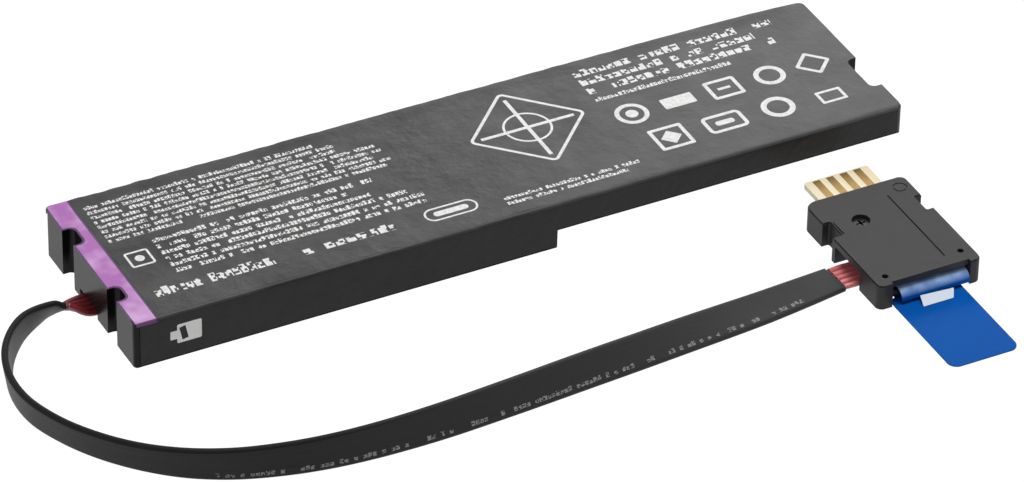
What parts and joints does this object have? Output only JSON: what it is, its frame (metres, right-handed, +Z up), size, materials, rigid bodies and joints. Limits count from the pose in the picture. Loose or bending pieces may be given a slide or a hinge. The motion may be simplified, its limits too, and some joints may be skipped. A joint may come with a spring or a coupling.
{
  "type": "raid battery module",
  "caption": "Slim stepped backup battery module with a film-wrapped notched case, a flat cable and a small edge-contact connector with a pull tab.",
  "frame": {"origin": "centre of the case's footprint, on the surface that it lies on", "axes": "+X along the case from the end with the wires to the thin end, +Y away from the connector, +Z up through the labelled face"},
  "size_m": [0.1772, 0.1003, 0.0095],
  "materials": {
    "case_plastic": "fine moulded grain, satin",
    "label_film": "dark grey printed film, soft sheen",
    "strip_film": "violet film, satin",
    "pouch_foil": "dull laminated foil",
    "foam": "matte foam",
    "nickel": "plain nickel strip",
    "amber_tape": "amber polyimide",
    "insulator": "plain sheet",
    "green_board": "solder mask",
    "chip_plastic": "moulded epoxy",
    "capacitor": "plain",
    "fuse_body": "plain",
    "wire_jacket": "smooth red insulation",
    "sheath": "satin black sleeve",
    "connector_plastic": "fine moulded grain",
    "pale_board": "bare laminate, satin",
    "gold_plate": "plated, satin",
    "screw_steel": "dark plated steel",
    "blue_film": "glossy blue film",
    "white_tape": "plain tape"
  },
  "bodies": {
    "root": {"case_tray": "case_plastic", "case_cover": "case_plastic", "label_wrap": "label_film", "end_strip": "strip_film", "cell_left": "pouch_foil", "cell_right": "pouch_foil", "cell_pads": "foam", "cell_tabs": "nickel", "seal_tape": "amber_tape", "insulating_sheet": "insulator", "control_board": "green_board", "board_chips": "chip_plastic", "power_inductor": "chip_plastic", "board_capacitors": "capacitor", "cell_fuse": "fuse_body", "thermistor": "chip_plastic", "foam_spacer": "foam", "module_wires": "wire_jacket", "cable_sheath": "sheath", "connector_wires": "wire_jacket", "connector_base": "connector_plastic", "connector_cover": "connector_plastic", "connector_board": "pale_board", "contact_fingers": "gold_plate", "connector_screw": "screw_steel", "pull_tab": "blue_film", "tab_tape": "white_tape"}
  },
  "joints": []
}
